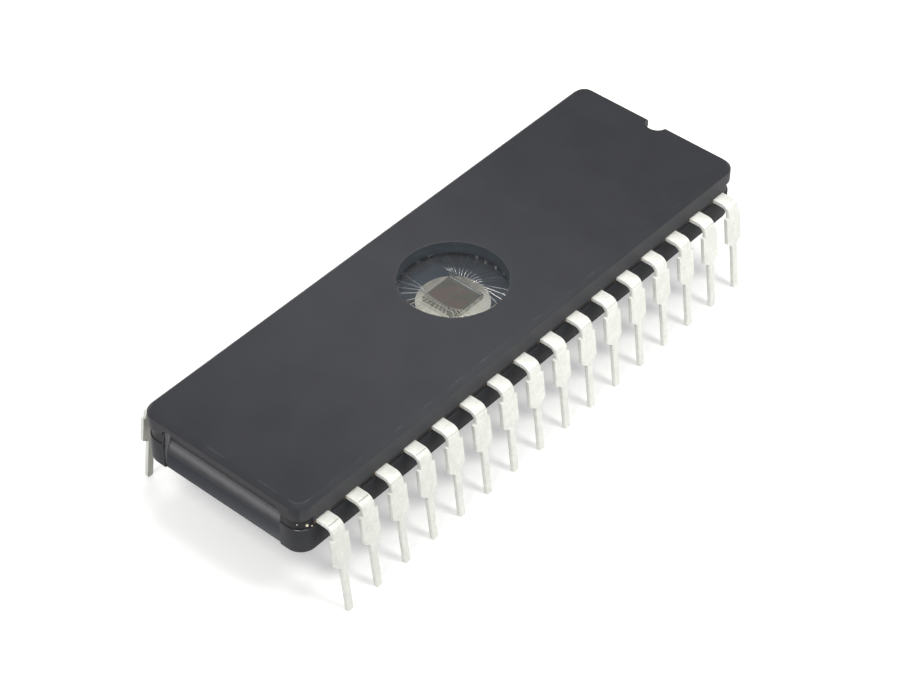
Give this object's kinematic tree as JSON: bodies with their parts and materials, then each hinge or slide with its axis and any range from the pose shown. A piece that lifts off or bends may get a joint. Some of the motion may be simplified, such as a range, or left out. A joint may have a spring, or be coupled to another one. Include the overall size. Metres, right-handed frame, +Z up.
{
  "type": "windowed ceramic memory chip",
  "caption": "Dark ceramic dual in-line chip with a round clear window over its die, bent tinned leads down both long sides and a half-round notch at one end.",
  "frame": {"origin": "middle of the package's plan, level with the lead tips", "axes": "+Z up through the window, +Y along the package towards the notched end, X across the two lead rows"},
  "size_m": [0.0172, 0.0418, 0.0085],
  "materials": {
    "black_ceramic_base": "matt pressed ceramic, nearly black",
    "black_ceramic_cap": "matt pressed ceramic, dark charcoal",
    "seal_frit": "glossy dark sealing glass",
    "window_glass": "clear polished glass",
    "silicon_die": "polished silicon with a patterned face",
    "attach_paste": "dull cream fired paste",
    "tinned_lead": "dull white tin over a nickel-iron strip",
    "aluminium_wire": "bright drawn wire"
  },
  "bodies": {
    "root": {"base": "black_ceramic_base", "cap": "black_ceramic_cap", "seal_glass": "seal_frit", "window_glass": "window_glass", "die": "silicon_die", "die_attach": "attach_paste", "lead_01": "tinned_lead", "lead_02": "tinned_lead", "lead_03": "tinned_lead", "lead_04": "tinned_lead", "lead_05": "tinned_lead", "lead_06": "tinned_lead", "lead_07": "tinned_lead", "lead_08": "tinned_lead", "lead_09": "tinned_lead", "lead_10": "tinned_lead", "lead_11": "tinned_lead", "lead_12": "tinned_lead", "lead_13": "tinned_lead", "lead_14": "tinned_lead", "lead_15": "tinned_lead", "lead_16": "tinned_lead", "lead_17": "tinned_lead", "lead_18": "tinned_lead", "lead_19": "tinned_lead", "lead_20": "tinned_lead", "lead_21": "tinned_lead", "lead_22": "tinned_lead", "lead_23": "tinned_lead", "lead_24": "tinned_lead", "lead_25": "tinned_lead", "lead_26": "tinned_lead", "lead_27": "tinned_lead", "lead_28": "tinned_lead", "lead_29": "tinned_lead", "lead_30": "tinned_lead", "lead_31": "tinned_lead", "lead_32": "tinned_lead", "bond_wires_front_left": "aluminium_wire", "bond_wires_front_right": "aluminium_wire", "bond_wires_rear_left": "aluminium_wire", "bond_wires_rear_right": "aluminium_wire"}
  },
  "joints": []
}
